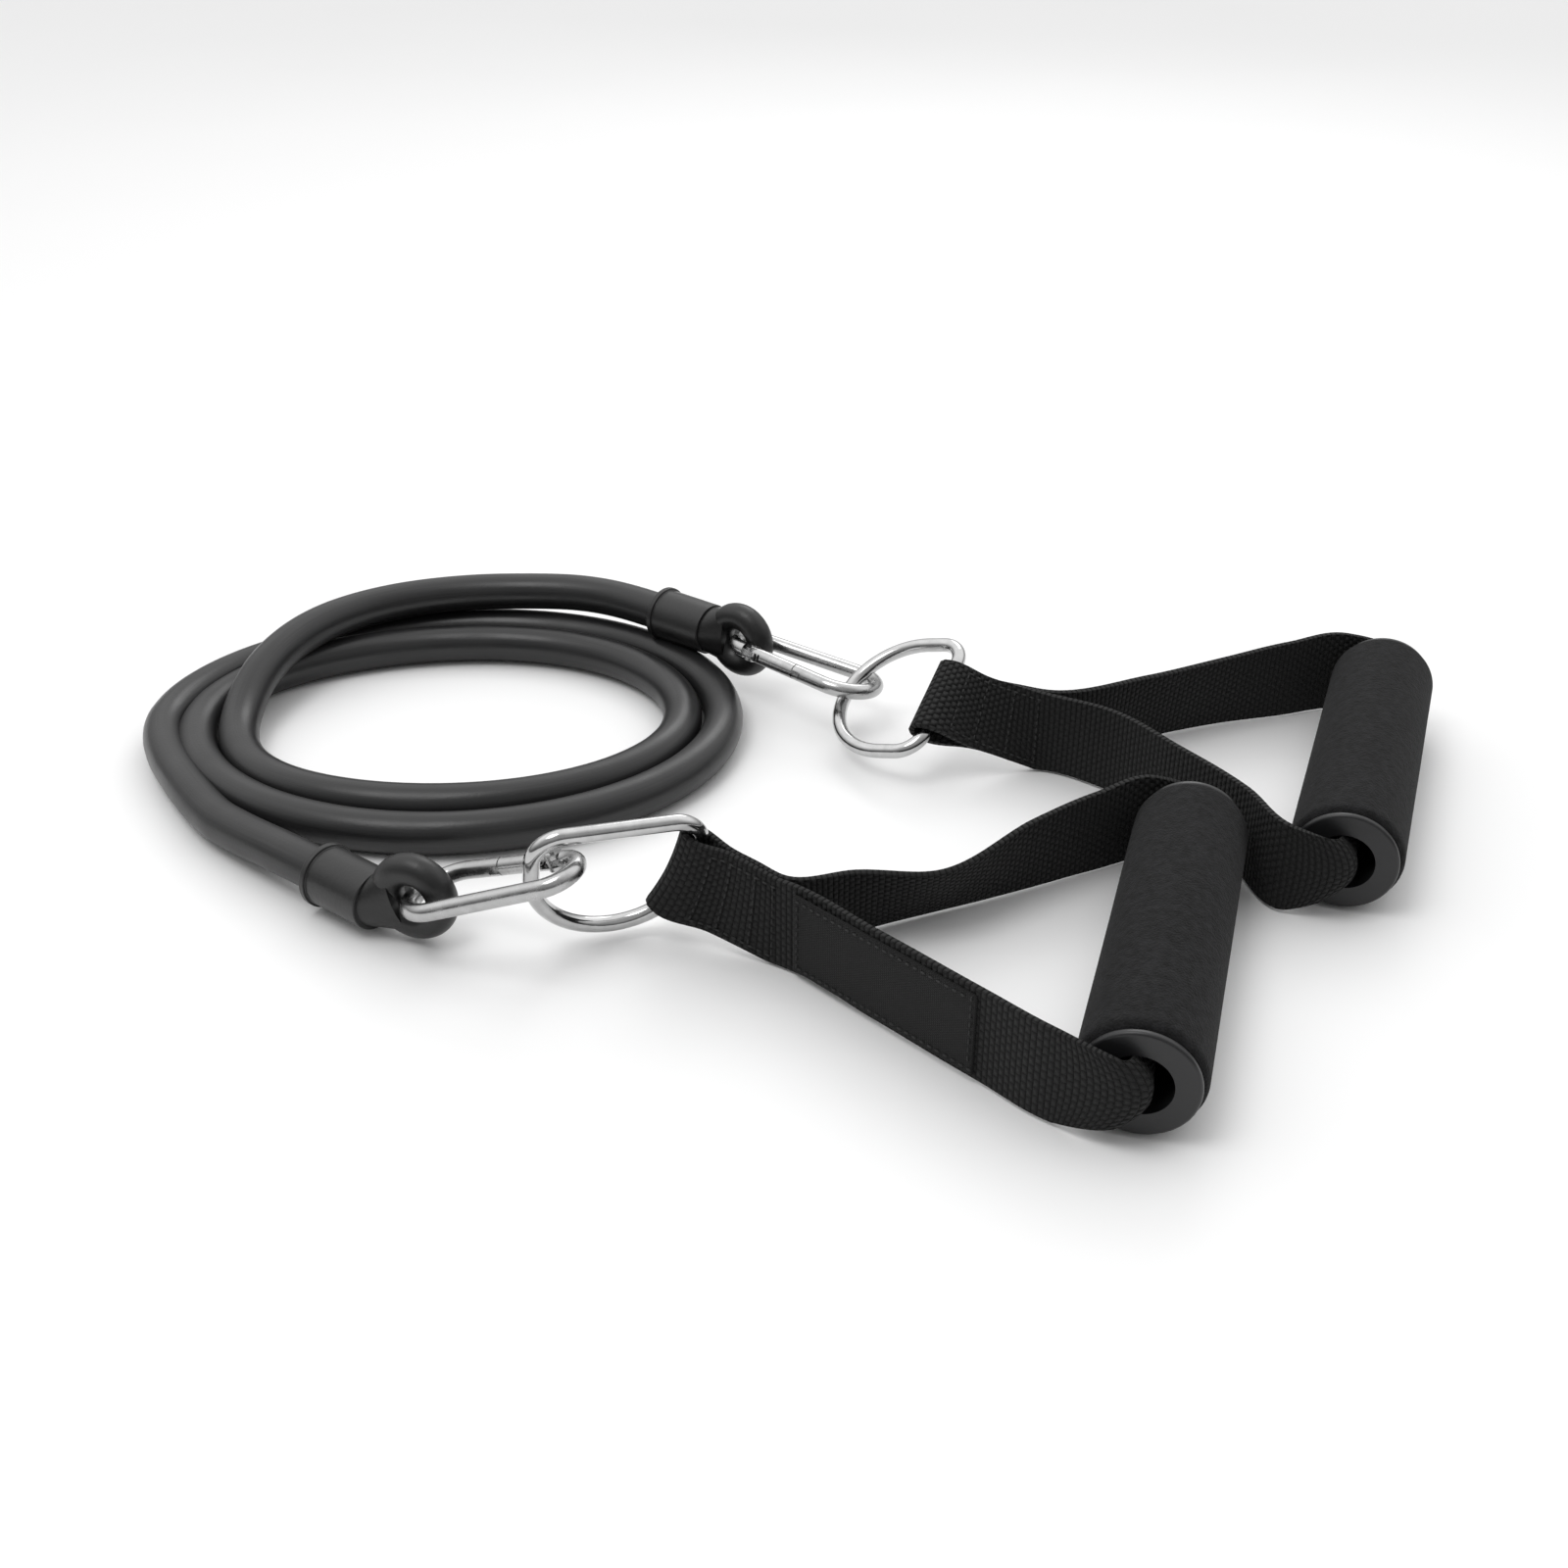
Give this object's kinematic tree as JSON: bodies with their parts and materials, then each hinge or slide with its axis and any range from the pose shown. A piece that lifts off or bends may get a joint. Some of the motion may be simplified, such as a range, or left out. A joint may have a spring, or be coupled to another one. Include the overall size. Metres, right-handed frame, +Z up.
{
  "type": "resistance band with handles",
  "caption": "Coiled rubber exercise tube with a snap hook, D-ring, webbing strap and foam-covered grip at each end, lying on a surface.",
  "frame": {"origin": "on the floor under the middle of the object without its tube", "axes": "+Z up, -Y towards the front, grips on +X, tube coil on -X"},
  "size_m": [0.4607, 0.3133, 0.0469],
  "materials": {
    "tube_rubber": "matte black natural rubber",
    "sleeve_rubber": "satin black moulded rubber",
    "ferrule_metal": "hidden zinc-plated crimp",
    "hook_steel": "bright zinc-plated wire",
    "spring_steel": "drawn spring wire",
    "ring_chrome": "polished nickel plate",
    "webbing": "coarse black woven webbing",
    "label_cloth": "fine black woven cloth, blank",
    "grip_foam": "matte fine-celled black foam",
    "core_plastic": "plain extruded tube",
    "cap_plastic": "satin black moulded plastic"
  },
  "bodies": {
    "tube": {"far_end_loop": "tube_rubber", "far_end_sleeve": "sleeve_rubber", "far_ferrule": "ferrule_metal", "far_tube_lead": "tube_rubber", "near_end_loop": "tube_rubber", "near_end_sleeve": "sleeve_rubber", "near_ferrule": "ferrule_metal", "near_tube_lead": "tube_rubber", "tube_coil": "tube_rubber"},
    "near_hook": {"near_hook_body": "hook_steel", "near_hook_gate_pin": "hook_steel"},
    "near_gate": {"near_hook_gate": "hook_steel", "near_hook_gate_spring": "spring_steel"},
    "near_ring": {"near_d_ring": "ring_chrome"},
    "near_strap": {"near_strap": "webbing", "near_strap_label": "label_cloth"},
    "near_grip": {"near_grip_foam": "grip_foam", "near_grip_core": "core_plastic", "near_grip_front_cap": "cap_plastic", "near_grip_rear_cap": "cap_plastic"},
    "far_hook": {"far_hook_body": "hook_steel", "far_hook_gate_pin": "hook_steel"},
    "far_gate": {"far_hook_gate": "hook_steel", "far_hook_gate_spring": "spring_steel"},
    "far_ring": {"far_d_ring": "ring_chrome"},
    "far_strap": {"far_strap": "webbing"},
    "far_grip": {"far_grip_foam": "grip_foam", "far_grip_core": "core_plastic", "far_grip_front_cap": "cap_plastic", "far_grip_rear_cap": "cap_plastic"}
  },
  "joints": [
    {"name": "near_hook_swing", "type": "hinge", "parent": "tube", "child": "near_hook", "pos_m": [-0.15185, -0.0473, 0.01526], "axis": [-0.3371, -0.9415, 0], "range_deg": [0, 45]},
    {"name": "near_gate_open", "type": "hinge", "parent": "near_hook", "child": "near_gate", "pos_m": [-0.10843, -0.05352, 0.03167], "axis": [-0.3359, 0.1203, 0.9342], "range_deg": [0, 25], "stiffness_Nm_per_rad": 0.02, "springref_deg": -11.46},
    {"name": "near_ring_swing", "type": "hinge", "parent": "near_hook", "child": "near_ring", "pos_m": [-0.11473, -0.06059, 0.03031], "axis": [-0.3371, -0.9415, 0], "range_deg": [0, 30]},
    {"name": "near_strap_swing", "type": "hinge", "parent": "near_ring", "child": "near_strap", "pos_m": [-0.0722, -0.04485, 0.02208], "axis": [0.3845, -0.143, 0.912], "range_deg": [-12, 2]},
    {"name": "near_grip_spin", "type": "hinge", "parent": "near_strap", "child": "near_grip", "pos_m": [0.0478, -0.138, 0.0175], "axis": [0.2857, 0.9583, 0], "continuous": true},
    {"name": "far_hook_swing", "type": "hinge", "parent": "tube", "child": "far_hook", "pos_m": [-0.05826, 0.1156, 0.022], "axis": [-0.549, -0.8358, 0], "range_deg": [0, 36]},
    {"name": "far_gate_open", "type": "hinge", "parent": "far_hook", "child": "far_gate", "pos_m": [-0.05368, 0.10232, 0.0228], "axis": [0.1897, 0.1242, 0.974], "range_deg": [0, 25], "stiffness_Nm_per_rad": 0.02, "springref_deg": -11.46},
    {"name": "far_ring_swing", "type": "hinge", "parent": "far_hook", "child": "far_ring", "pos_m": [-0.01706, 0.08854, 0.01743], "axis": [-0.549, -0.8358, 0], "range_deg": [0, 15]},
    {"name": "far_strap_swing", "type": "hinge", "parent": "far_ring", "child": "far_strap", "pos_m": [0.01236, 0.06303, 0.02493], "axis": [0.3882, 0.8262, 0.4081], "range_deg": [0, 12]},
    {"name": "far_grip_spin", "type": "hinge", "parent": "far_strap", "child": "far_grip", "pos_m": [0.1278, -0.032, 0.0175], "axis": [0.3518, 0.9361, 0], "continuous": true}
  ]
}
